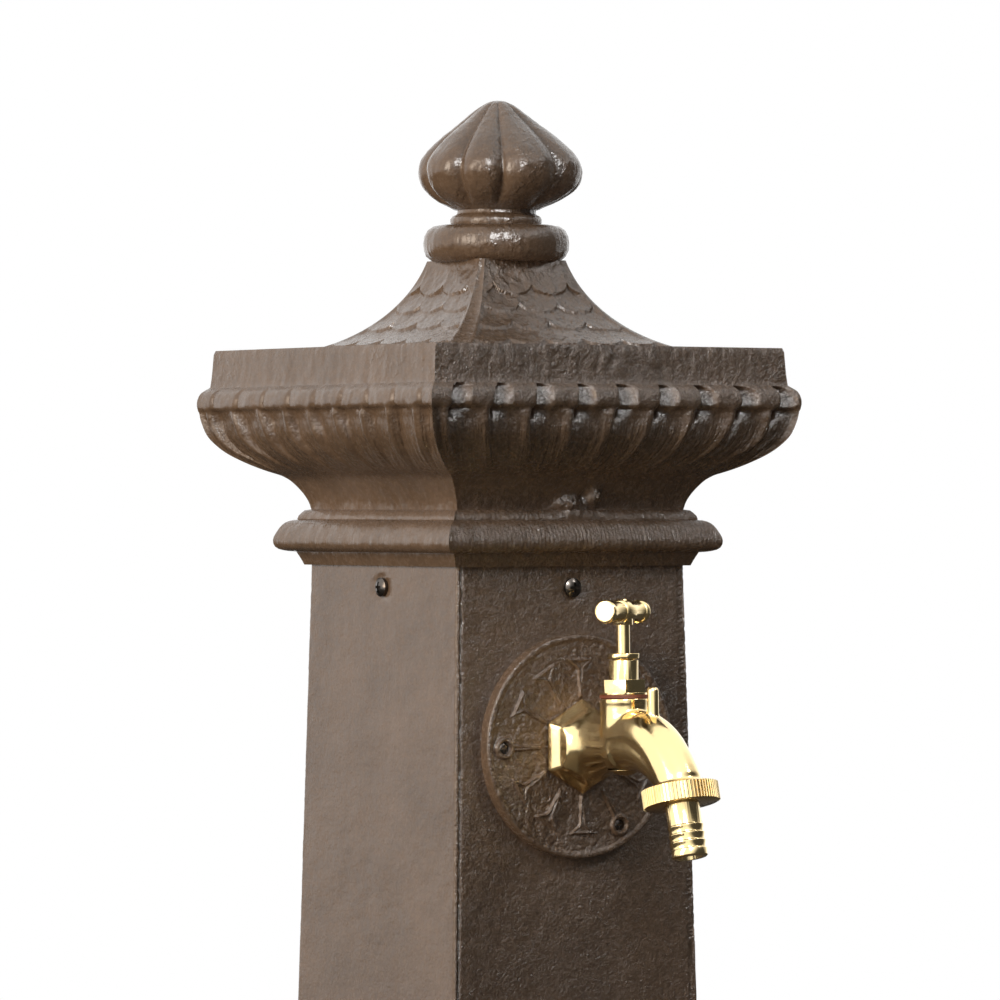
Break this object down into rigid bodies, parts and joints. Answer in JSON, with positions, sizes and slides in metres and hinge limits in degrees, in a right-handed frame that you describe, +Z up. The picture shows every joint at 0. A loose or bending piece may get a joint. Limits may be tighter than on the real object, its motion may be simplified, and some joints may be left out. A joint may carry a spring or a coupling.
{
  "type": "garden fountain",
  "caption": "Free-standing square cast garden fountain with roofed cap, onion finial, brass bib tap with hose tail on a rosette, stepped plinth and catch basin.",
  "frame": {"origin": "on the floor under the column's axis, at the centre of the plinth's four anchor holes", "axes": "+Z up along the column, -Y out of the face with the tap, +X to the right seen from behind the tap's face"},
  "size_m": [0.27, 0.353, 0.9987],
  "materials": {
    "painted_iron": "satin brown paint over rough cast iron",
    "polished_brass": "polished",
    "plain_brass": "turned, dull",
    "black_steel": "blackened",
    "zinc_steel": "zinc plated",
    "black_rubber": "matte",
    "red_fibre": "vulcanised fibre, matte",
    "packing_cord": "waxed packing"
  },
  "bodies": {
    "root": {"back_nut": "plain_brass", "basin": "painted_iron", "basin_bolts": "zinc_steel", "basin_nuts": "zinc_steel", "bonnet": "polished_brass", "bonnet_washer": "red_fibre", "bottom_elbow": "zinc_steel", "cap": "painted_iron", "cap_screws": "black_steel", "clip_screws": "black_steel", "column": "painted_iron", "drain_grate": "plain_brass", "finial": "painted_iron", "finial_nut": "zinc_steel", "finial_stud": "zinc_steel", "finial_washer": "zinc_steel", "gland_nut": "polished_brass", "gland_packing": "packing_cord", "grate_screw": "plain_brass", "inlet_locknut": "plain_brass", "inlet_nipple": "plain_brass", "pipe_clip": "zinc_steel", "plinth": "painted_iron", "plinth_screws": "black_steel", "riser_pipe": "zinc_steel", "rosette": "painted_iron", "rosette_screws": "black_steel", "tap_body": "polished_brass", "top_elbow": "zinc_steel", "wall_washer": "black_rubber", "waste_fitting": "plain_brass", "waste_nut": "plain_brass", "waste_washer": "black_rubber"},
    "valve_disc": {"jumper": "plain_brass", "jumper_washer": "black_rubber"},
    "handle": {"spindle": "polished_brass", "t_handle": "polished_brass", "handle_screw": "polished_brass"},
    "hose_end": {"hose_tail": "polished_brass", "union_washer": "black_rubber"},
    "coupling_nut": {"union_nut": "polished_brass"}
  },
  "joints": [
    {"name": "valve_lift", "type": "slide", "parent": "root", "child": "valve_disc", "axis": [0, 0.0228, 0.9997], "range_m": [0, 0.004]},
    {"name": "handle_turn", "type": "hinge", "parent": "valve_disc", "child": "handle", "pos_m": [0, -0.09631, 0.72534], "axis": [0, 0.0228, 0.9997], "range_deg": [0, 720]},
    {"name": "union_drop", "type": "slide", "parent": "root", "child": "hose_end", "axis": [0, -0.2555, -0.9668], "range_m": [0, 0.00363]},
    {"name": "union_nut_turn", "type": "hinge", "parent": "hose_end", "child": "coupling_nut", "pos_m": [0, -0.13667, 0.7069], "axis": [0, -0.2555, -0.9668], "range_deg": [0, 720]}
  ],
  "couplings": [
    {"joint": "handle_turn", "follows": "valve_lift", "rad_per_m": 3141.6},
    {"joint": "union_nut_turn", "follows": "union_drop", "rad_per_m": 3463.7}
  ]
}
